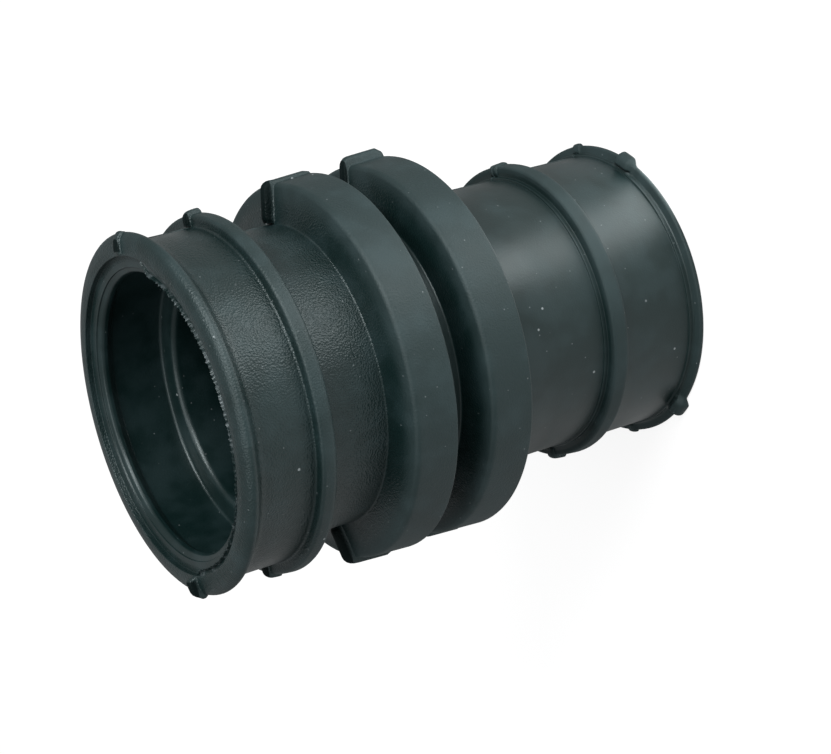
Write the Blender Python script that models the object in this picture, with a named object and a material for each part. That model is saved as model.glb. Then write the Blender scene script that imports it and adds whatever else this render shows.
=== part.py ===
# Rubber connector between a dishwasher's sump and its wash pump.
#
# One moulded sleeve, turned about the Z axis. It stands on its narrow end (z = 0) and its wide
# mouth faces up. The mould parts on the XZ plane, and the parting beads stand at +X and -X.
# All lengths are in metres.

from math import acos, ceil, cos, pi, radians, sin, sqrt, tan

import bmesh
import bpy
from mathutils import Matrix, Vector

mm = 0.001

# Radii, from the bore outwards
bore_radius = 19.1 * mm
socket_radius = 23.0 * mm
mouth_radius = 24.6 * mm
lip_step_radius = 22.7 * mm
lip_radius = 20.6 * mm
far_seat_radius = 22.9 * mm
far_neck_radius = 22.4 * mm
groove_radius = 23.4 * mm
near_neck_radius = 23.8 * mm
near_seat_radius = 26.2 * mm
far_ring_radius = 24.7 * mm
far_rib_radius = 24.6 * mm
flange_radius = 30.3 * mm
near_rib_radius = 28.3 * mm
near_ring_radius = 28.2 * mm

# Lengths along the sleeve, in order from the narrow end to the mouth
far_ring_width = 2.0 * mm
far_seat_length = 12.4 * mm
far_rib_width = 4.4 * mm
far_neck_length = 18.1 * mm
flange_rim_width = 6.9 * mm
flange_draft = 1.25 * mm
groove_width = 4.0 * mm
near_neck_length = 10.2 * mm
near_rib_width = 3.4 * mm
near_seat_length = 9.0 * mm
near_ring_width = 3.0 * mm

# The socket under the mouth
socket_depth = 12.4 * mm
lip_depth = 0.95 * mm
lip_step_height = 0.2 * mm
lip_thickness = 0.9 * mm
lip_back_slope = 1.3 * mm

# The hollow inside each flange, which lets the sleeve flex
flange_wall = 2.5 * mm
flange_rim_wall = 3.2 * mm

# The low foot in front of the two ribs of the narrow tube
foot_height = 0.35 * mm
foot_width = 0.8 * mm

# The ring round the mouth: how far its crest lies below the face, front and back, and how much of
# the face is flat before it falls
ring_face_fall = 0.45 * mm
ring_back_fall = 1.3 * mm
flat_face_share = 1 / 3

# Roundings
crest_round = 0.9 * mm
flange_round = 2.2 * mm
back_edge_round = 0.4 * mm
root_round = 0.35 * mm
ring_slope_round = 1.6 * mm
bore_edge_round = 0.5 * mm
crown_drop = 0.25 * mm

# Parting beads: how far each stands off the face before it and off its rim, at +X and at -X
bead_width = 1.8 * mm
near_ring_beads = ((0.5 * mm, 0.45 * mm), (1.4 * mm, 0.8 * mm))
near_rib_beads = ((0.6 * mm, 0.75 * mm), (0.6 * mm, 0.7 * mm))
near_flange_beads = ((1.6 * mm, 0.6 * mm), (1.6 * mm, 1.3 * mm))
far_flange_beads = ((0.7 * mm, 1.6 * mm), (0.8 * mm, 0.7 * mm))
far_rib_beads = ((0.4 * mm, 0.45 * mm), (0.4 * mm, 0.65 * mm))
far_ring_beads = ((0.4 * mm, 0.45 * mm), (0.4 * mm, 0.45 * mm))
bead_from_mouth = 0.3 * mm
bead_root_gap = 0.2 * mm
bead_sink = 0.8 * mm
bead_inner_share = 0.67
bead_nose_share = 0.6
bead_tail_rise = 0.15 * mm
bead_tail_round = 0.3 * mm
bead_nose_round = 0.8 * mm

# Two lugs on the rim of the narrow end, both on the -Y side of the parting plane
lug_angles = (radians(31.0), radians(35.0))
lug_length = 3.8 * mm
lug_height = 1.1 * mm
lug_thickness = 1.3 * mm
lug_foot = 0.1 * mm
lug_round = 0.5 * mm

# Fineness of the facets
turn_steps = 48
facet_error = 0.12 * mm
bead_arc_steps = 2
crown_shares = (-1.0, -0.72, -0.25, 0.25, 0.72, 1.0)
crown_fall = 0.72


def stack_heights():
    """Heights where one stretch of the sleeve ends and the next begins, from z = 0 up."""
    flange_root_width = flange_rim_width + 2 * flange_draft
    stretches = (
        ("far_ring_top", far_ring_width),
        ("far_rib_bottom", far_seat_length),
        ("far_rib_top", far_rib_width),
        ("far_flange_bottom", far_neck_length),
        ("far_flange_top", flange_root_width),
        ("near_flange_bottom", groove_width),
        ("near_flange_top", flange_root_width),
        ("near_rib_bottom", near_neck_length),
        ("near_rib_top", near_rib_width),
        ("near_ring_bottom", near_seat_length),
        ("mouth", near_ring_width),
    )
    heights = {}
    z = 0.0
    for name, length in stretches:
        z += length
        heights[name] = z
    return heights


def rounded(corners, fixed_steps=0):
    """A closed outline through (x, z, radius) corners, each rounded by an arc of that radius."""
    points = []
    for index, (x, z, radius) in enumerate(corners):
        here = Vector((x, z))
        back = Vector(corners[index - 1][:2]) - here
        ahead = Vector(corners[(index + 1) % len(corners)][:2]) - here
        if radius <= 0.0:
            points.append(here)
            continue
        room = 0.48 * min(back.length, ahead.length)
        back.normalize()
        ahead.normalize()
        opening = acos(max(-1.0, min(1.0, back.dot(ahead))))
        reach = min(radius / tan(opening / 2), room)
        arc_radius = reach * tan(opening / 2)
        centre = here + (back + ahead).normalized() * (arc_radius / sin(opening / 2))
        start = here + back * reach - centre
        side = 1.0 if back.x * ahead.y - back.y * ahead.x < 0.0 else -1.0
        turn = side * (pi - opening)
        widest = 2 * acos(max(0.0, 1.0 - facet_error / arc_radius))
        steps = fixed_steps or max(1, ceil(abs(turn) / widest))
        for step in range(steps + 1):
            points.append(centre + Matrix.Rotation(turn * step / steps, 2) @ start)
    return points


def near_ring(root, crest, low, high):
    """Corners of the ring round the mouth: a hollow slope, a round crest and a face that falls."""
    flat_edge = mouth_radius + flat_face_share * (crest - mouth_radius)
    return [
        (root, low, ring_slope_round),
        (crest, high - ring_back_fall, crest_round),
        (crest, high - ring_face_fall, crest_round),
        (flat_edge, high, 0.0),
    ]


def far_ring(root, crest, low, high):
    """Corners of the ring round the narrow end: a flat face, a round crest and a low foot."""
    return [
        (crest - crown_drop, low, back_edge_round),
        (crest, low + 0.4 * (high - low), crest_round),
        (root + foot_height, high - foot_width, root_round),
        (root + foot_height, high, 0.0),
        (root, high, 0.0),
    ]


def rib(root_below, root_above, crest, low, high, foot):
    """Corners of a clamp rib: a gentle back, a crowned top and a steep front."""
    top = high - foot
    corners = [
        (root_below, low, root_round),
        (crest, low + 0.3 * (top - low), crest_round),
        (crest - crown_drop, top, root_round),
    ]
    if foot:
        corners += [(root_above + foot_height, top, 0.0), (root_above + foot_height, high, 0.0)]
    return corners + [(root_above, high, 0.0)]


def flange(root_below, root_above, low, high):
    """Corners of a flange: two faces that lean together and a round shoulder on the mouth side."""
    return [
        (root_below, low, root_round),
        (flange_radius, low + flange_draft, back_edge_round),
        (flange_radius, high - flange_draft, flange_round),
        (root_above, high, 0.0),
    ]


def hollow(low, high):
    """Corners of the hollow behind a flange, from the bore side, going down."""
    bottom = low + flange_wall
    top = high - flange_wall
    floor = flange_radius - flange_rim_wall
    return [
        (bore_radius, top, bore_edge_round),
        (floor, top - flange_draft, bore_edge_round),
        (floor, bottom + flange_draft, bore_edge_round),
        (bore_radius, bottom, bore_edge_round),
    ]


def sleeve_corners(z):
    """The whole section, up the outside and down the bore."""
    corners = far_ring(far_seat_radius, far_ring_radius, 0.0, z["far_ring_top"])
    corners += rib(
        far_seat_radius, far_neck_radius, far_rib_radius, z["far_rib_bottom"], z["far_rib_top"], foot_width
    )
    corners += flange(far_neck_radius, groove_radius, z["far_flange_bottom"], z["far_flange_top"])
    corners += flange(groove_radius, near_neck_radius, z["near_flange_bottom"], z["near_flange_top"])
    corners += rib(
        near_neck_radius, near_seat_radius, near_rib_radius, z["near_rib_bottom"], z["near_rib_top"], 0.0
    )
    corners += near_ring(near_seat_radius, near_ring_radius, z["near_ring_bottom"], z["mouth"])

    mouth = z["mouth"]
    lip_top = mouth - lip_depth - lip_step_height
    lip_bottom = lip_top - lip_thickness
    corners += [
        (mouth_radius, mouth, 0.0),
        (mouth_radius, mouth - lip_depth, 0.0),
        (lip_step_radius, mouth - lip_depth, 0.0),
        (lip_step_radius, lip_top, 0.0),
        (lip_radius, lip_top, 0.0),
        (lip_radius, lip_bottom, 0.0),
        (socket_radius, lip_bottom - lip_back_slope, root_round),
        (socket_radius, mouth - socket_depth, bore_edge_round),
        (bore_radius, mouth - socket_depth, bore_edge_round),
    ]
    corners += hollow(z["near_flange_bottom"], z["near_flange_top"])
    corners += hollow(z["far_flange_bottom"], z["far_flange_top"])
    corners.append((bore_radius, 0.0, bore_edge_round))
    return corners


def bead_outline(stand_off, root, crest, low, high, lean, share):
    """Section of a parting bead that wraps a ring from the face before it over its rim."""
    front, rise = (share * value for value in stand_off)
    top = high - lean
    bottom = low + lean + bead_tail_rise
    start = root + bead_root_gap
    depth = crest - start
    inside = min(start + bead_inner_share * depth, crest - 2 * bead_root_gap)
    nose = crest - min(bead_sink, bead_nose_share * depth)
    return rounded([
        (inside, bottom, 0.0),
        (crest - bead_root_gap, bottom, 0.0),
        (crest + 0.8 * rise, bottom + 0.6 * rise, bead_tail_round),
        (crest + rise, top + 0.3 * front, bead_nose_round),
        (nose, top + front, bead_nose_round),
        (start, high + front, bead_tail_round),
        (start, high - bead_sink, 0.0),
        (inside, top - bead_sink, 0.0),
    ], fixed_steps=bead_arc_steps)


def add_bead(bm, turned, *ring):
    """Loft a bead across the parting plane, with a crowned top, and cap both ends."""
    loops = []
    for share in crown_shares:
        height = sqrt(1.0 - crown_fall * share * share)
        loops.append([
            bm.verts.new(turned @ Vector((x, share * bead_width / 2, z)))
            for x, z in bead_outline(*ring, height)
        ])
    for first, second in zip(loops, loops[1:]):
        for index in range(len(first)):
            after = (index + 1) % len(first)
            bm.faces.new((first[index], first[after], second[after], second[index]))
    bm.faces.new(list(reversed(loops[0])))
    bm.faces.new(loops[-1])


def beads_mesh(z):
    """All parting beads, each on both sides of the sleeve."""
    rings = (
        (near_ring_beads, mouth_radius + bead_from_mouth, near_ring_radius, z["near_ring_bottom"],
         z["mouth"], ring_face_fall),
        (near_rib_beads, near_seat_radius, near_rib_radius, z["near_rib_bottom"], z["near_rib_top"], 0.0),
        (near_flange_beads, near_neck_radius, flange_radius, z["near_flange_bottom"],
         z["near_flange_top"], flange_draft),
        (far_flange_beads, groove_radius, flange_radius, z["far_flange_bottom"],
         z["far_flange_top"], flange_draft),
        (far_rib_beads, far_neck_radius, far_rib_radius, z["far_rib_bottom"],
         z["far_rib_top"] - foot_width, 0.0),
        (far_ring_beads, far_seat_radius, far_ring_radius, 0.0, z["far_ring_top"] - foot_width, 0.0),
    )
    bm = bmesh.new()
    for (right, left), *ring in rings:
        add_bead(bm, Matrix(), right, *ring)
        add_bead(bm, Matrix.Rotation(pi, 4, "Z"), left, *ring)
    return finished_mesh(bm, "mould_beads")


def lugs_mesh():
    """Two rounded lugs on the rim of the narrow end."""
    bm = bmesh.new()
    depth = lug_height + bead_sink
    for angle in (-lug_angles[0], pi + lug_angles[1]):
        place = Matrix.Rotation(angle, 4, "Z") @ Matrix.Translation((
            far_ring_radius + lug_height - depth / 2, 0.0, lug_foot + lug_thickness / 2))
        size = Matrix.Diagonal((depth, lug_length, lug_thickness, 1.0))
        cube = bmesh.ops.create_cube(bm, size=1.0, matrix=place @ size)
        edges = {edge for vert in cube["verts"] for edge in vert.link_edges}
        bmesh.ops.bevel(bm, geom=list(edges), offset=lug_round, segments=2, affect="EDGES", profile=0.5)
    return finished_mesh(bm, "rim_lugs")


def finished_mesh(bm, name):
    """Fill and turn the faces at a scale of millimetres, where small ones keep their shape."""
    bmesh.ops.scale(bm, vec=(1 / mm, 1 / mm, 1 / mm), verts=bm.verts)
    bmesh.ops.triangulate(bm, faces=[face for face in bm.faces if len(face.verts) > 4])
    bmesh.ops.recalc_face_normals(bm, faces=bm.faces)
    bmesh.ops.scale(bm, vec=(mm, mm, mm), verts=bm.verts)
    mesh = bpy.data.meshes.new(name)
    bm.to_mesh(mesh)
    bm.free()
    return mesh


def sleeve_mesh(z):
    """Spin the section about the Z axis."""
    bm = bmesh.new()
    verts = [bm.verts.new((x, 0.0, height)) for x, height in rounded(sleeve_corners(z))]
    edges = [bm.edges.new((verts[index - 1], verts[index])) for index in range(len(verts))]
    bmesh.ops.spin(
        bm, geom=verts + edges, cent=(0.0, 0.0, 0.0), axis=(0.0, 0.0, 1.0),
        angle=2 * pi, steps=turn_steps, use_merge=True,
    )
    return finished_mesh(bm, "connector_sleeve")


def rubber():
    material = bpy.data.materials.new("black_rubber")
    material.use_nodes = True
    shader = material.node_tree.nodes["Principled BSDF"]
    shader.inputs["Base Color"].default_value = (0.018, 0.023, 0.024, 1.0)
    shader.inputs["Roughness"].default_value = 0.48
    shader.inputs["Metallic"].default_value = 0.0
    return material


def add_object(mesh, name):
    thing = bpy.data.objects.new(name, mesh)
    bpy.context.scene.collection.objects.link(thing)
    return thing


def join_to(body, guide):
    """Fuse a guide shape into the body with a Boolean union."""
    guide.hide_render = True
    guide.display_type = "WIRE"
    union = body.modifiers.new(guide.name, "BOOLEAN")
    union.operation = "UNION"
    union.solver = "EXACT"
    union.object = guide


def build():
    for thing in list(bpy.data.objects):
        bpy.data.objects.remove(thing, do_unlink=True)
    z = stack_heights()
    sleeve = add_object(sleeve_mesh(z), "connector_sleeve")
    sleeve.data.materials.append(rubber())
    sleeve.data.shade_smooth()
    sleeve.data.set_sharp_from_angle(angle=radians(35.0))
    join_to(sleeve, add_object(beads_mesh(z), "mould_beads"))
    join_to(sleeve, add_object(lugs_mesh(), "rim_lugs"))


build()
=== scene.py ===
import math

import bpy
import numpy as np
from mathutils import Matrix, Vector


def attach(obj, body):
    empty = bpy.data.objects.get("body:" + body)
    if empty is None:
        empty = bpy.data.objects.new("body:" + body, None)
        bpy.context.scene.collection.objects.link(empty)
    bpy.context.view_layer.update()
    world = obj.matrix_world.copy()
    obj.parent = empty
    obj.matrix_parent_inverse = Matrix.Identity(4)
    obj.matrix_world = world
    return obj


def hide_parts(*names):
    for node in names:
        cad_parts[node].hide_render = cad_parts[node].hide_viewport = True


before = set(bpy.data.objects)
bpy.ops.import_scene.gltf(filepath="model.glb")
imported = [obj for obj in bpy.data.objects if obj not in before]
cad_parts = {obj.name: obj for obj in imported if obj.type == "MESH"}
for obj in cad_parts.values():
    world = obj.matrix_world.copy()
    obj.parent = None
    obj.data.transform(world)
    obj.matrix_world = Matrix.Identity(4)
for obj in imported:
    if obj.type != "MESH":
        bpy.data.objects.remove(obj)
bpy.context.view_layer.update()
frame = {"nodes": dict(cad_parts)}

mm = 0.001
print("frame loaded:", ", ".join(frame["nodes"]))


def addObject(name, data):
    made = bpy.data.objects.new(name, data)
    bpy.context.scene.collection.objects.link(made)
    return made


# Fitted to the sleeve's outlines in the photograph
photoCamera = {
    "place": (38.896 * mm, -281.768 * mm, 200.967 * mm),
    "right": (-0.206953, -0.508341, -0.835918),
    "up": (0.969039, 0.011093, -0.246657),
    "back": (0.134658, -0.861084, 0.490307),
    "width": 831,                # of the picture, in pixels
    "focal": 2045.37,            # in the same pixels
    "sensor": 36.0,              # its width in mm
    "clip": (0.01, 20.0),
}


def addCamera():
    data = bpy.data.cameras.new("photoCamera")
    data.sensor_width = photoCamera["sensor"]
    data.lens = photoCamera["focal"] * photoCamera["sensor"] / photoCamera["width"]
    data.clip_start, data.clip_end = photoCamera["clip"]
    camera = addObject("photoCamera", data)
    turn = Matrix([photoCamera[side] for side in ("right", "up", "back")]).transposed()
    camera.matrix_world = Matrix.Translation(photoCamera["place"]) @ turn.to_4x4()
    bpy.context.scene.camera = camera


addCamera()
print("camera placed")


# Radii, depths and widths of the sleeve in millimetres
sleeve = {
    "bore": 19.1,
    "socket": 23.0,
    "mouth": 24.6,
    "lipStep": 22.7,
    "lip": 21.75,
    "faceEdge": 25.8,            # where the mouth's face starts to round over
    "farSeat": 22.9,
    "farNeck": 22.4,
    "groove": 23.4,
    "nearNeck": 23.8,
    "nearSeat": 26.2,
    "farRing": 24.7,
    "farRib": 24.6,
    "flange": 30.3,
    "nearRib": 28.3,
    "nearRing": 28.2,
    "draft": 1.25,               # how far a flange's flanks lean
    "taper": 0.4,                # how much smaller a flange is in front than at the back
    "foot": 0.35,                # step at the front of the far ring and the far rib
    "footWidth": 0.8,
    "crown": 0.25,               # how much lower a ring or rib is at one edge
    "ribRise": 0.3,              # share of a rib's width over which its back rises
    "crestDepth": 1.4,           # from the mouth to where the near ring is widest
    "nose": (0.8, 0.35),         # the near ring's nose, inside that and below the mouth
    "lean": 0.05,                # keeps the faces of small steps from being square
    "lipDepth": 0.95,
    "lipStepHeight": 0.25,
    "lipFall": 0.75,             # how much lower the lip's edge lies than its step
    "lipBend": (0.15, 0.4),      # bend in that slope: outside the edge, and as a share of the fall
    "lipThickness": 0.5,
    "lipUnder": 1.3,             # height of the slope under the lip
    "socketDepth": 12.4,
    "flangeWall": 2.5,
    "rimWall": 3.2,
}

# Heights from the narrow end's face
height = {
    "farRingCrest": 0.8,
    "farRingTop": 2.0,
    "farRibLow": 14.4,
    "farRibTop": 18.8,
    "farFlangeLow": 36.9,
    "farFlangeTop": 46.3,
    "nearFlangeLow": 50.3,
    "nearFlangeTop": 59.7,
    "nearRibLow": 69.9,
    "nearRibTop": 73.3,
    "nearRingLow": 82.3,
    "mouth": 85.3,
}

rounding = {
    "edge": 0.1,
    "step": 0.12,
    "lipEdge": 0.15,
    "foot": 0.3,
    "root": 0.4,
    "farRibNose": 0.45,
    "soft": 0.5,
    "nearRibNose": 0.6,
    "socket": 0.6,
    "back": 0.9,
    "shoulder": 1.0,
    "bore": 1.1,
    "ringBack": 1.6,
    "ringNose": 2.0,
    "face": 2.5,
}

fineness = {
    "arc": math.radians(13.0),    # widest turn in one step of a rounding
    "room": 0.48,                 # share of the shorter side that a rounding may take
    "span": 2.2,                  # longest straight step
    "beadSpan": 0.75,             # the same where a bead lies
    "insideSpan": 3.0,            # and in the bore
    "slope": 0.05,                # a stretch that changes its radius by more has a bead
    "beadRadius": 24.2,           # and so has all that lies further out than this
    "aroundStep": math.radians(2.5),
    # columns on one side of the parting plane, in mm from it
    "parting": (0.0, 0.08, 0.16, 0.24, 0.36, 0.55, 0.72, 0.8, 0.86, 0.92, 0.98, 1.1, 1.4, 2.0, 3.0),
}


def flangeCorners(flange, behind, ahead, frontRounding):
    # Over one flange, from the radius behind it to the one in front
    s, r = sleeve, rounding
    low, top = height[flange + "Low"], height[flange + "Top"]
    return [
        (behind, low, r["root"], ""),
        (s["flange"], low + s["draft"], r["root"], flange + "Back"),
        (s["flange"] - s["taper"], top - s["draft"], r["shoulder"], flange + "Nose"),
        (ahead, top, frontRounding, flange + "Root"),
    ]


def hollowCorners(flange):
    # The hollow inside one flange, downwards
    s, r = sleeve, rounding
    floor = s["flange"] - s["rimWall"]
    bottom = height[flange + "Low"] + s["flangeWall"]
    ceiling = height[flange + "Top"] - s["flangeWall"]
    return [
        (s["bore"], ceiling, r["soft"], ""),
        (floor, ceiling - s["draft"], r["soft"], ""),
        (floor, bottom + s["draft"], r["soft"], ""),
        (s["bore"], bottom, r["soft"], ""),
    ]


def sectionCorners():
    # Up the outside and down the bore: radius, height, rounding and a name where a bead needs one
    s, h, r = sleeve, height, rounding
    top = h["mouth"]
    farRibFront = h["farRibTop"] - s["footWidth"]
    farRibBack = h["farRibLow"] + s["ribRise"] * (farRibFront - h["farRibLow"])
    nearRibBack = h["nearRibLow"] + s["ribRise"] * (h["nearRibTop"] - h["nearRibLow"])
    noseInside, noseDepth = s["nose"]
    ledge = top - s["lipDepth"]
    lipTop = ledge - s["lipStepHeight"]
    lipEdge = lipTop - s["lipFall"]
    lipLow = lipEdge - s["lipThickness"]
    bendOutside, bendShare = s["lipBend"]
    socketFloor = top - s["socketDepth"]
    return [
        (s["farRing"] - s["crown"], 0.0, r["root"], "farRingBack"),
        (s["farRing"], h["farRingCrest"], r["back"], "farRingNose"),
        (s["farSeat"] + s["foot"], h["farRingTop"] - s["footWidth"], r["foot"], "farRingRoot"),
        (s["farSeat"] + s["foot"], h["farRingTop"] - s["lean"], r["edge"], ""),
        (s["farSeat"], h["farRingTop"], r["edge"], ""),
        (s["farSeat"], h["farRibLow"], r["soft"], ""),
        (s["farRib"], farRibBack, r["back"], "farRibBack"),
        (s["farRib"] - s["crown"], farRibFront, r["farRibNose"], "farRibNose"),
        (s["farNeck"] + s["foot"], farRibFront + s["lean"], r["step"], "farRibRoot"),
        (s["farNeck"] + s["foot"], h["farRibTop"] - s["lean"], r["step"], ""),
        (s["farNeck"], h["farRibTop"], r["edge"], ""),
        *flangeCorners("farFlange", s["farNeck"], s["groove"], r["root"]),
        *flangeCorners("nearFlange", s["groove"], s["nearNeck"], r["foot"]),
        (s["nearNeck"], h["nearRibLow"], r["root"], ""),
        (s["nearRib"], nearRibBack, r["back"], "nearRibBack"),
        (s["nearRib"] - s["crown"], h["nearRibTop"], r["nearRibNose"], "nearRibNose"),
        (s["nearSeat"], h["nearRibTop"], r["root"], "nearRibRoot"),
        (s["nearSeat"], h["nearRingLow"], r["ringBack"], ""),
        (s["nearRing"], top - s["crestDepth"], r["shoulder"], "nearRingBack"),
        (s["nearRing"] - noseInside, top - noseDepth, r["ringNose"], "nearRingNose"),
        (s["faceEdge"], top, r["face"], ""),
        (s["mouth"], top, r["step"], "nearRingRoot"),
        (s["mouth"], ledge, r["edge"], ""),
        (s["lipStep"], ledge, r["edge"], ""),
        (s["lipStep"] - s["lean"], lipTop, r["edge"], ""),
        (s["lip"] + bendOutside, lipTop - bendShare * s["lipFall"], r["soft"], ""),
        (s["lip"], lipEdge, r["soft"], ""),
        (s["lip"], lipLow, r["lipEdge"], ""),
        (s["socket"], lipLow - s["lipUnder"], r["socket"], ""),
        (s["socket"], socketFloor, r["socket"], ""),
        (s["bore"], socketFloor, r["bore"], ""),
        *hollowCorners("nearFlange"),
        *hollowCorners("farFlange"),
        (s["bore"], 0.0, r["soft"], ""),
    ]


def roundedSection(corners):
    # The section as points in a plane, and the index of the point nearest each named corner
    points, marks = [], {}
    for index, (x, z, radius, name) in enumerate(corners):
        here = np.array((x, z))
        back = np.array(corners[index - 1][:2]) - here
        ahead = np.array(corners[(index + 1) % len(corners)][:2]) - here
        room = fineness["room"] * min(np.hypot(*back), np.hypot(*ahead))
        back = back / np.hypot(*back)
        ahead = ahead / np.hypot(*ahead)
        opening = math.acos(max(-1.0, min(1.0, float(back @ ahead))))
        reach = min(radius / math.tan(opening / 2), room)
        arcRadius = reach * math.tan(opening / 2)
        middle = back + ahead
        centre = here + middle / np.hypot(*middle) * arcRadius / math.sin(opening / 2)
        start = here + back * reach - centre
        side = 1.0 if back[0] * ahead[1] - back[1] * ahead[0] < 0.0 else -1.0
        turn = side * (math.pi - opening)
        steps = max(2, math.ceil(abs(turn) / fineness["arc"]))
        first = len(points)
        for step in range(steps + 1):
            cosine, sine = math.cos(turn * step / steps), math.sin(turn * step / steps)
            spoke = (cosine * start[0] - sine * start[1], sine * start[0] + cosine * start[1])
            points.append(centre + np.array(spoke))
        if name:
            marks[name] = (first + len(points) - 1) / 2
    return np.array(points), marks


def longestSpan(here, ahead, inside):
    inner, outer = sorted((here[0], ahead[0]))
    if inside:
        return fineness["insideSpan"]
    if outer > inner + fineness["slope"] or inner > fineness["beadRadius"]:
        return fineness["beadSpan"]
    return fineness["span"]


def denserSection(points, marks):
    # Splits the straight stretches, finer where a bead lies
    kept, moved = [], {}
    for index in range(len(points)):
        here, ahead = points[index], points[(index + 1) % len(points)]
        for name, mark in marks.items():
            if index <= mark < index + 1:
                moved[name] = len(kept) + (mark - index)
        kept.append(here)
        inside = index > marks["nearRingRoot"]
        count = math.ceil(np.hypot(*(ahead - here)) / longestSpan(here, ahead, inside))
        for step in range(1, count):
            kept.append(here + (ahead - here) * step / count)
    return np.array(kept), moved


# How far each parting bead stands off its ring's face and off its rim, at +X and then at -X
beads = {
    "nearRing": ((0.5, 0.45), (1.29, 0.75)),
    "nearRib": ((0.6, 0.75), (0.6, 0.7)),
    "nearFlange": ((1.6, 0.6), (1.6, 1.0)),
    "farFlange": ((0.7, 1.55), (0.8, 0.7)),
    "farRib": ((0.4, 0.4), (0.4, 0.65)),
    "farRing": ((0.35, 0.45), (0.35, 0.4)),
    "tail": 0.5,                 # length over which a bead rises behind its ring
    "nose": 0.6,                 # half the length over which rim and face meet
    "root": 0.3,                 # length over which it ends on the face
    "mouthGap": 0.2,             # the near ring's bead ends this far before the mouth
    "crown": 0.45,               # roundness of a bead's top, with 0 flat
    "edge": (0.78, 0.98),        # where its flank starts and ends, in mm from its middle
    "seam": 0.13,                # height of the fine seam between the beads
    "seamWidth": 0.16,
    "seamStart": 0.6,            # the seam starts this far from the narrow end's face
}

# Two small lugs on the narrow end's rim, on the -Y side at angles from +X and from -X
lugs = {
    "angles": (math.radians(31.0), math.radians(35.0)),
    "length": 3.6,
    "fade": 1.3,
    "height": 1.05,
    "low": (-0.05, 0.3),         # heights between which a lug rises
    "high": (1.3, 1.8),          # and between which it ends
    "columns": 18,
    "clear": 0.01,               # share left free of plain columns beside them
}


def smooth(x, low=0.0, high=1.0):
    x = np.clip((x - low) / (high - low), 0.0, 1.0)
    return x * x * (3.0 - 2.0 * x)


def blend(share, first, second):
    return first + (second - first) * share


def runLength(points):
    steps = np.hypot(*(np.roll(points, -1, axis=0) - points).T)
    return np.concatenate(([0.0], np.cumsum(steps)[:-1]))


def sectionNormals(points):
    along = np.roll(points, -1, axis=0) - np.roll(points, 1, axis=0)
    along /= np.hypot(*along.T)[:, None]
    return np.stack((along[:, 1], -along[:, 0]), axis=1)


def beadHeights(points, marks, side):
    # Height of the beads of one side over each point of the section
    run = runLength(points)
    at = {name: np.interp(mark, np.arange(len(run)), run) for name, mark in marks.items()}
    at["nearRingRoot"] -= beads["mouthGap"]
    heights = np.zeros(len(points))
    for ring in ("farRing", "farRib", "farFlange", "nearFlange", "nearRib", "nearRing"):
        face, rim = beads[ring][side]
        back, nose, root = (at[ring + end] for end in ("Back", "Nose", "Root"))
        here = blend(smooth(run, nose - beads["nose"], nose + beads["nose"]), rim, face)
        here = here * smooth(run, back, back + beads["tail"]) * smooth((root - run) / beads["root"])
        heights = np.maximum(heights, here)
    return heights


def beadLift(offSeam, bead):
    crown = np.sqrt(np.maximum(0.0, 1.0 - beads["crown"] * np.minimum(offSeam, 1.0) ** 2))
    return bead * crown * (1.0 - smooth(offSeam, *beads["edge"]))


def seamLift(offSeam):
    return beads["seam"] * np.exp(-(offSeam / beads["seamWidth"]) ** 2)


def lugLift(angles, z):
    half, fade = lugs["length"] / 2, lugs["fade"] / 2
    body = np.zeros(len(angles))
    for centre in (2 * math.pi - lugs["angles"][0], math.pi + lugs["angles"][1]):
        off = np.abs(angles - centre) * sleeve["farRing"]
        body = np.maximum(body, 1.0 - smooth(off, half - fade, half + fade))
    return lugs["height"] * body * smooth(z, *lugs["low"]) * (1.0 - smooth(z, *lugs["high"]))


def evenShares():
    # Plain columns from one parting bead to the next, as shares of the way
    free = math.pi - 2 * fineness["parting"][-1] / sleeve["farRing"]
    count = round(free / fineness["aroundStep"])
    return np.arange(1, count) / count


def sharesWithLugs():
    # The same with extra columns over the two lugs, from +X to -X
    edge = math.asin(fineness["parting"][-1] / sleeve["farRing"])
    whole = math.pi - 2 * edge
    half = (lugs["length"] / 2 + lugs["fade"]) / sleeve["farRing"]
    shares = list(evenShares())
    for centre in (lugs["angles"][0], math.pi - lugs["angles"][1]):
        low, high = (centre - half - edge) / whole, (centre + half - edge) / whole
        start, end = low - lugs["clear"], high + lugs["clear"]
        shares = [share for share in shares if not start < share < end]
        shares += list(np.linspace(low, high, lugs["columns"]))
    return np.array(sorted(shares))


def columnAngles(radius, plainShares, luggedShares):
    # Columns near the parting plane keep their distance from it, the others their share of the way
    reach = np.arcsin(np.array(fineness["parting"]) / radius)
    edge, free = reach[-1], math.pi - 2 * reach[-1]
    near = np.concatenate((-reach[:0:-1], reach))
    plain = edge + free * plainShares
    lugged = 2 * math.pi - (edge + free * luggedShares)[::-1]
    return np.concatenate((near, plain, math.pi + near, lugged))


def ringMesh(name, rings, mirrored=False):
    # A closed skin over rings of points, the last one joined to the first
    grid = np.array(rings)
    corner = np.arange(grid.shape[0] * grid.shape[1]).reshape(grid.shape[:2])
    up, side = np.roll(corner, -1, axis=0), np.roll(corner, -1, axis=1)
    both = np.roll(up, -1, axis=1)
    order = (corner, up, both, side) if mirrored else (corner, side, both, up)
    faces = np.stack(order, axis=2).reshape(-1, 4)
    mesh = bpy.data.meshes.new(name)
    mesh.from_pydata((grid.reshape(-1, 3) * mm).tolist(), [], faces.tolist())
    mesh.update()
    print(name + ":", len(grid), "rings of", len(grid[0]), "points,", 2 * len(faces), "triangles")
    return mesh


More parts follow.
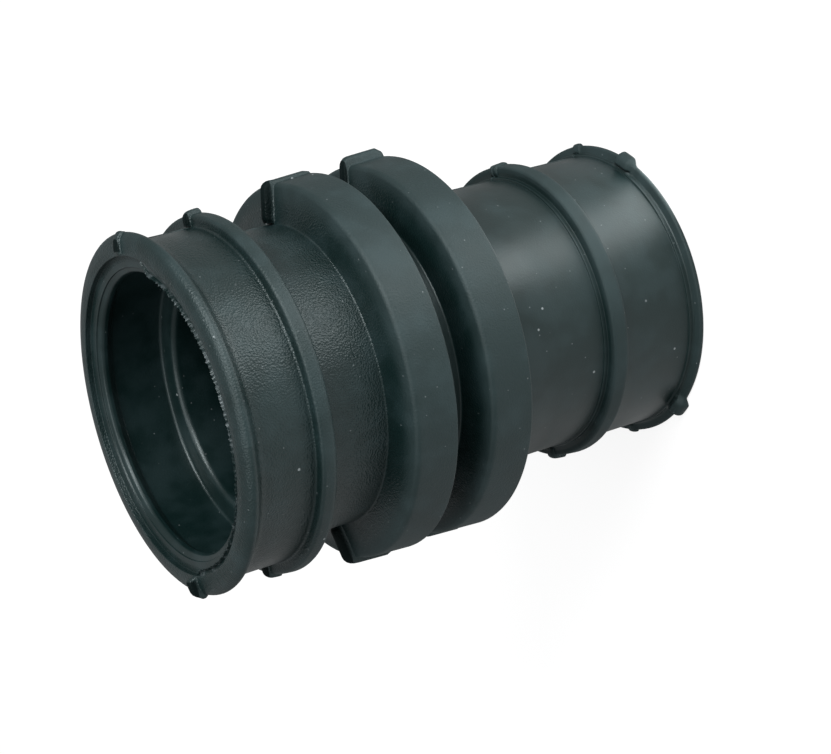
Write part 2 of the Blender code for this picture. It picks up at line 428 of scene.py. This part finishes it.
def sleeveMesh():
    points, marks = denserSection(*roundedSection(sectionCorners()))
    heights = np.stack([beadHeights(points, marks, side) for side in (0, 1)], axis=1)
    outside = np.arange(len(points)) < marks["nearRingRoot"]
    outside &= runLength(points) > beads["seamStart"]
    normals = sectionNormals(points)
    shares = evenShares(), sharesWithLugs()
    rings = []
    for (radius, z), normal, (right, left), out in zip(points, normals, heights, outside):
        angles = columnAngles(radius, *shares)
        offSeam = np.abs(radius * np.sin(angles))
        lift = beadLift(offSeam, np.where(np.cos(angles) > 0.0, right, left))
        if out:
            lift = np.maximum(lift, np.maximum(seamLift(offSeam), lugLift(angles, z)))
        reach = radius + normal[0] * lift
        level = z + normal[1] * lift
        rings.append(np.stack((reach * np.cos(angles), reach * np.sin(angles), level), axis=1))
    return ringMesh("connectorSleeve", rings)


# Thin flash inside the mouth's edge, on the -Y half of the mould, with a torn inner edge
flash = {
    "columns": 900,
    "seed": 7,
    "teeth": 400,                # more than go round once
    "tooth": 0.62,               # usual distance between two teeth
    "spread": (0.5, 1.5),        # least and most of that distance, as shares of it
    "tall": (0.25, 1.0),         # a tooth's height as a share of the tallest
    "toothHalf": (0.3, 0.15),    # half its width, and how much a tall one adds
    "bite": 0.30,                # height of the tallest teeth
    "inner": (22.2, 23.6),       # radius of the torn edge near +X and near -X
    "level": (0.62, 0.22),       # its depth below the mouth there
    "turn": (65.0, 120.0),       # degrees from +X where it goes over from one to the other
    "ends": (14.0, 177.0),       # degrees from +X where the flash starts and ends
    "fade": 10.0,                # over so many degrees
    "thickness": 0.12,
    "edgeThickness": 0.048,
    "footWidth": 0.28,           # from the torn edge to the groove outside it
    "groove": 0.50,              # depth of that groove
    "rise": 0.08,                # how much higher a tooth stands
    "curl": 0.12,                # and how much its tip bends up
    "sunk": 0.08,                # below the mouth's face
    "hidden": 0.25,              # where it starts in the wall, outside the mouth's edge
    "hiddenWidth": 0.1,
    "footGap": 0.05,             # least distance from the groove to the outer edge
}


def tornTeeth():
    # Height of the teeth at each column, as a share of the tallest
    random = np.random.default_rng(flash["seed"])
    around = np.arange(flash["columns"]) / flash["columns"] * 2 * math.pi * sleeve["lipStep"]
    places = np.cumsum(random.uniform(*flash["spread"], flash["teeth"])) * flash["tooth"]
    tall = random.uniform(*flash["tall"], flash["teeth"])
    off = np.abs(around[:, None] - places[None, :])
    narrow, wider = flash["toothHalf"]
    return (tall * np.clip(1.0 - off / (narrow + wider * tall), 0.0, 1.0)).max(axis=1)


def flashMesh():
    tooth = tornTeeth()
    angle = np.arange(flash["columns"]) / flash["columns"] * 2 * math.pi
    degrees = np.degrees(angle)
    share = smooth(degrees, *flash["turn"])
    (start, end), half = flash["ends"], flash["fade"] / 2
    there = smooth(degrees, start - half, start + half)
    there = there * (1.0 - smooth(degrees, end - half, end + half))
    wall = sleeve["mouth"] + flash["hidden"]
    edge = blend(share, *flash["inner"]) + flash["bite"] * (0.5 - tooth)
    depth = blend(share, *flash["level"]) - flash["rise"] * tooth
    inner = blend(there, wall, edge)
    outer = np.full(flash["columns"], wall + flash["hiddenWidth"])
    foot = inner + flash["footWidth"] + flash["bite"] * (tooth - 0.5)
    foot = np.minimum(foot, outer - flash["footGap"])
    thickness = flash["thickness"]
    groove = flash["groove"] * there
    top = np.full(flash["columns"], height["mouth"] - flash["sunk"])
    tip = top - depth + flash["curl"] * tooth
    rings = (
        (outer, top - 2 * thickness - groove),
        (outer, top),
        (foot, top - depth - groove),
        (inner, tip),
        (inner, tip - flash["edgeThickness"]),
        (foot, top - depth - groove - thickness),
    )
    return ringMesh("mouthFlash", [
        np.stack((radius * np.cos(angle), -radius * np.sin(angle), level), axis=1)
        for radius, level in rings
    ], mirrored=True)


flashPiece = addObject("mouthFlash", flashMesh())
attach(flashPiece, "root")
print("flash torn")

sleevePiece = addObject("connectorSleeve", sleeveMesh())
sleevePiece.data.shade_smooth()
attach(sleevePiece, "root")
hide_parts("connector_sleeve")
print("sleeve shaped")


class Strand:
    # One value in a node tree; an expression on it adds Math nodes
    def __init__(self, paint, socket):
        self.paint = paint
        self.socket = socket

    def by(self, operation, *values):
        return self.paint.node("ShaderNodeMath", {"operation": operation}, dict(enumerate(values)))

    def output(self, name):
        return Strand(self.paint, self.socket.node.outputs[name])

    def __add__(self, other):
        return self.by("ADD", self, other)

    def __radd__(self, other):
        return self.by("ADD", other, self)

    def __sub__(self, other):
        return self.by("SUBTRACT", self, other)

    def __rsub__(self, other):
        return self.by("SUBTRACT", other, self)

    def __mul__(self, other):
        return self.by("MULTIPLY", self, other)

    def __rmul__(self, other):
        return self.by("MULTIPLY", other, self)

    def __truediv__(self, other):
        return self.by("DIVIDE", self, other)

    def __pow__(self, other):
        return self.by("POWER", self, other)

    def __abs__(self):
        return self.by("ABSOLUTE", self)


class Paint:
    # The nodes of one material or of the world
    def __init__(self, owner):
        owner.use_nodes = True
        self.owner = owner
        self.tree = owner.node_tree
        self.tree.nodes.clear()

    def node(self, kind, settings=None, sockets=None, output=0):
        made = self.tree.nodes.new(kind)
        for name, value in (settings or {}).items():
            setattr(made, name, value)
        for name, value in (sockets or {}).items():
            if isinstance(value, Strand):
                self.tree.links.new(value.socket, made.inputs[name])
            else:
                made.inputs[name].default_value = value
        return Strand(self, made.outputs[output]) if made.outputs else made

    def parts(self, vector):
        split = self.node("ShaderNodeSeparateXYZ", sockets={0: vector})
        return [split.output(axis) for axis in range(3)]

    def noise(self, place, scale, detail):
        return self.node("ShaderNodeTexNoise", sockets={"Vector": place, "Scale": scale, "Detail": detail})

    def cells(self, place, scale):
        return self.node("ShaderNodeTexVoronoi", sockets={"Vector": place, "Scale": scale})

    def ramp(self, value, span, unit=1.0):
        # From 0 at the span's first value to 1 at its second
        sockets = {0: value, 1: span[0] * unit, 2: span[1] * unit, 3: 0.0, 4: 1.0}
        return self.node("ShaderNodeMapRange", {"interpolation_type": "SMOOTHSTEP"}, sockets)

    def mix(self, share, first, second):
        return self.node("ShaderNodeMix", {"data_type": "RGBA"}, {0: share, 6: first, 7: second}, 2)


# Each span of radius, height or distance is in mm and leads from none of a finish to all of it
rubber = {
    "base": (0.0036, 0.0125, 0.0122, 1.0),
    "worn": (0.0170, 0.0330, 0.0350, 1.0),
    "torn": (0.060, 0.076, 0.080, 1.0),
    "seam": (0.050, 0.075, 0.078, 1.0),
    "dust": (0.34, 0.38, 0.39, 1.0),
    # painted shade on the faces in front of the beads
    "paintedShade": (0.0030, 0.0060, 0.0060, 1.0),
    "glint": (0.88, 0.99, 1.0, 1.0),

    "rimRadius": (26.4, 29.0),
    "farEnd": (30.0, 26.0),      # the far ring and rib count as rims too
    "farRimRadius": (23.3, 23.7),

    "broad": (60.0, 3.0),        # scale and detail of the large clouds
    "cloud": (210.0, 2.0),       # and of the small ones
    "wornClouds": (0.42, 0.62),
    "wornShare": 0.5,
    "rimWorn": 0.35,             # rims are worn all over

    "tubeRoughness": 0.33,
    "rimRoughness": 0.58,
    "farTubeExtra": 0.10,        # the far tube is a little rougher
    "blotch": 0.28,              # how much the roughness changes from place to place
    "blotchMix": (0.6, 0.4),     # shares of the large and the small clouds in it

    "grainScale": 3300.0,
    "grainDepth": 0.09,
    "grainStrength": 0.8,
    "grainLeft": 0.15,           # share of the grain where the rubber is smooth
    "rimSmooth": 0.65,           # how much of it the rims lose
    "pebbledRadius": (23.4, 23.7),
    "pebbledHeight": (37.0, 38.0),

    "tornScale": (900.0, 2.0),
    "tornClouds": (0.50, 0.62),

    "seamOff": (0.22, 0.08),
    "seamRadius": (21.5, 22.0),
    "seamHeight": (82.3, 81.8),
    "seamClouds": (0.42, 0.6),
    "seamShare": 0.8,

    # cells to a metre, a speck's radius in its cell, share of cells without one, strength
    "dustSizes": ((330.0, 0.09, 0.88, 0.8), (1100.0, 0.16, 0.90, 0.28)),
    "dustSoft": 0.02,

    # height and radius at which each painted-shade face in front of a bead starts
    "paintedShadeFaces": ((18.9, 23.1), (45.3, 24.0), (58.9, 24.4), (73.45, 26.7), (85.42, 25.2)),
    "paintedShadeDepth": 3.0,
    "paintedShadeHalf": (0.95, 0.874),    # half the width of a painted-shade face, and of its full black
    "paintedShadeSoft": (0.1, 0.2),       # how softly it starts, in height and in radius
    "paintedShadeRoughness": 0.8,
    "paintedShadeShare": 0.85,
}


def pebbledNormal(paint, place, radius, z, rim):
    # Pebbled on the near tube, nearly smooth on the far one and inside
    pebbled = paint.ramp(radius, rubber["pebbledRadius"], mm)
    pebbled = pebbled * paint.ramp(z, rubber["pebbledHeight"], mm) * (1.0 - rubber["rimSmooth"] * rim)
    left = rubber["grainLeft"]
    return paint.node("ShaderNodeBump", sockets={
        "Strength": rubber["grainStrength"],
        "Distance": rubber["grainDepth"] * mm,
        "Height": paint.cells(place, rubber["grainScale"]) * (left + (1.0 - left) * pebbled),
    })


def partingSeam(paint, off, radius, z, cloud):
    # Fine pale line, broken up by the clouds
    line = paint.ramp(off, rubber["seamOff"], mm) * paint.ramp(cloud, rubber["seamClouds"])
    line = line * paint.ramp(radius, rubber["seamRadius"], mm) * paint.ramp(z, rubber["seamHeight"], mm)
    return line * rubber["seamShare"]


def dustSpecks(paint, place):
    dust = 0.0
    for scale, size, empty, share in rubber["dustSizes"]:
        cell = paint.cells(place, scale)
        chance = paint.parts(cell.output("Color"))[0]
        chosen = paint.ramp(chance, (empty, empty + rubber["dustSoft"]))
        dust = dust + paint.ramp(cell, (size, 0.5 * size)) * chosen * share
    return dust


# Painted shade: a black mask over the faces in front of the beads, where shade falls
def paintedBeadShade(paint, off, radius, z):
    beadShade = 0.0
    softHeight, softRadius = rubber["paintedShadeSoft"]
    for low, inside in rubber["paintedShadeFaces"]:
        high = low + rubber["paintedShadeDepth"]
        level = paint.ramp(z, (low, low + softHeight), mm)
        level = level * paint.ramp(z, (high + softHeight, high), mm)
        beadShade = beadShade + level * paint.ramp(radius, (inside, inside + softRadius), mm)
    return beadShade * paint.ramp(off, rubber["paintedShadeHalf"], mm) * rubber["paintedShadeShare"]


def rubberMaterial(name, torn):
    paint = Paint(bpy.data.materials.new(name))
    place = paint.node("ShaderNodeTexCoord", output="Object")
    x, y, z = paint.parts(place)
    radius = (x * x + y * y) ** 0.5
    off = abs(y)                 # distance from the parting plane
    farEnd = paint.ramp(z, rubber["farEnd"], mm)
    farRim = farEnd * paint.ramp(radius, rubber["farRimRadius"], mm)
    rim = 1.0 - (1.0 - paint.ramp(radius, rubber["rimRadius"], mm)) * (1.0 - farRim)
    broad = paint.noise(place, *rubber["broad"])
    cloud = paint.noise(place, *rubber["cloud"])
    normal = pebbledNormal(paint, place, radius, z, rim)

    worn = paint.ramp((cloud + broad) * 0.5, rubber["wornClouds"]) * rubber["wornShare"]
    tone = paint.mix(worn + rubber["rimWorn"] * rim, rubber["base"], rubber["worn"])
    if torn:
        patches = paint.ramp(paint.noise(place, *rubber["tornScale"]), rubber["tornClouds"])
        colour = paint.mix(patches, tone, rubber["torn"])
    else:
        tone = paint.mix(partingSeam(paint, off, radius, z, cloud), tone, rubber["seam"])
        colour = paint.mix(dustSpecks(paint, place), tone, rubber["dust"])

    broadShare, cloudShare = rubber["blotchMix"]
    blotch = rubber["blotch"] * (broadShare * broad + cloudShare * cloud - 0.5)   # clouds centre on 0.5
    tube = rubber["tubeRoughness"] + farEnd * rubber["farTubeExtra"]
    moulded = paint.node("ShaderNodeBsdfPrincipled", sockets={
        "Base Color": colour,
        "Roughness": tube + rim * (rubber["rimRoughness"] - rubber["tubeRoughness"]) + blotch,
        "Specular Tint": rubber["glint"],
        "Normal": normal,
    })
    # Painted shade: the faces in front of the beads are painted black and matt, standing in for the shade
    # in the slot there
    beadShade = paint.node("ShaderNodeBsdfDiffuse", sockets={
        "Color": rubber["paintedShade"],
        "Roughness": rubber["paintedShadeRoughness"],
        "Normal": normal,
    })
    share = paintedBeadShade(paint, off, radius, z)
    both = paint.node("ShaderNodeMixShader", sockets={0: share, 1: moulded, 2: beadShade})
    paint.node("ShaderNodeOutputMaterial", sockets={"Surface": both})
    return paint.owner


sleevePiece.data.materials.append(rubberMaterial("mouldedRubber", False))
flashPiece.data.materials.append(rubberMaterial("tornRubber", True))
print("rubber made")


studio = {
    "white": (1.0, 1.0, 1.0, 1.0),
    "floorSize": 6.0,
    "floorColour": (0.25, 0.25, 0.25, 1.0),
    "floorSeen": 0.85,           # what the camera sees besides the light that falls on the floor
    "table": 0.50,               # even glow of the light table in front of the sleeve
    "tableBehind": 0.13,         # and behind it
    "tableTurn": (0.45, -0.35),  # sine of the angle over which it goes from one to the other
    "pool": 3.6,                 # its brighter wedge
    "poolAngle": math.radians(-48.0),
    "poolHalf": math.radians(12.5),
    "poolFade": math.radians(8.0),
    "poolReach": (0.45, 0.25),
    "dome": 0.33,
    "domeColour": (0.97, 0.985, 1.0, 1.0),
    "aim": (0.0, 0.0, 0.045),    # what the lamps point at
}

# azimuth, elevation, distance, width, height and watts of each lamp
lamps = {
    "keyLamp": (-45.0, 28.0, 0.6, 0.25, 0.5, 2.6),
    "topLamp": (-90.0, 75.0, 0.8, 0.6, 0.6, 2.2),
    "edgeLamp": (-25.0, 48.0, 0.8, 0.30, 0.10, 2.0),
}


def floorMaterial():
    # Pale to the camera, and a light table to the sleeve
    paint = Paint(bpy.data.materials.new("paleFloor"))
    seen = paint.node("ShaderNodeLightPath", output="Is Camera Ray")
    x, y = paint.parts(paint.node("ShaderNodeTexCoord", output="Object"))[:2]
    angle = paint.node("ShaderNodeMath", {"operation": "ARCTAN2"}, {0: y, 1: x})
    off = abs(angle - studio["poolAngle"])
    reach = (x * x + y * y) ** 0.5
    half, fade = studio["poolHalf"], studio["poolFade"]
    wedge = paint.ramp(off, (half + fade, half - fade)) * paint.ramp(reach, studio["poolReach"])
    front = paint.ramp(y / (reach + mm), studio["tableTurn"])   # the mm keeps it from dividing by 0
    table = front * (studio["table"] - studio["tableBehind"]) + studio["tableBehind"]
    glow = studio["floorSeen"] * seen + (wedge * studio["pool"] + table) * (1.0 - seen)
    matt = paint.node("ShaderNodeBsdfDiffuse", sockets={"Color": studio["floorColour"]})
    light = paint.node("ShaderNodeEmission", sockets={"Color": glow, "Strength": 1.0})
    both = paint.node("ShaderNodeAddShader", sockets={0: matt, 1: light})
    paint.node("ShaderNodeOutputMaterial", sockets={"Surface": both})
    return paint.owner


def addFloor():
    half = studio["floorSize"] / 2
    mesh = bpy.data.meshes.new("studioFloor")
    corners = [(-half, -half, 0.0), (half, -half, 0.0), (half, half, 0.0), (-half, half, 0.0)]
    mesh.from_pydata(corners, [], [(0, 1, 2, 3)])
    mesh.materials.append(floorMaterial())
    floor = addObject("studioFloor", mesh)


def setWorld():
    # White to the camera, a soft dome to all else
    paint = Paint(bpy.data.worlds.new("studioWorld"))
    seen = paint.node("ShaderNodeLightPath", output="Is Camera Ray")
    dome = {"Color": studio["domeColour"], "Strength": studio["dome"]}
    dome = paint.node("ShaderNodeBackground", sockets=dome)
    white = paint.node("ShaderNodeBackground", sockets={"Color": studio["white"], "Strength": 1.0})
    both = paint.node("ShaderNodeMixShader", sockets={0: seen, 1: dome, 2: white})
    paint.node("ShaderNodeOutputWorld", sockets={"Surface": both})
    bpy.context.scene.world = paint.owner


def addLamp(name, azimuth, elevation, distance, width, tall, watts):
    light = bpy.data.lights.new(name, "AREA")
    light.shape = "RECTANGLE"
    light.size = width
    light.size_y = tall
    light.energy = watts
    turn, rise = math.radians(azimuth), math.radians(elevation)
    away = Vector((math.cos(turn) * math.cos(rise), math.sin(turn) * math.cos(rise), math.sin(rise)))
    facing = away.to_track_quat("Z", "Y").to_matrix().to_4x4()
    lamp = addObject(name, light)
    lamp.matrix_world = Matrix.Translation(Vector(studio["aim"]) + away * distance) @ facing


addFloor()
setWorld()
for name, values in lamps.items():
    addLamp(name, *values)
bpy.context.scene.view_settings.view_transform = "Standard"
print("studio lit")
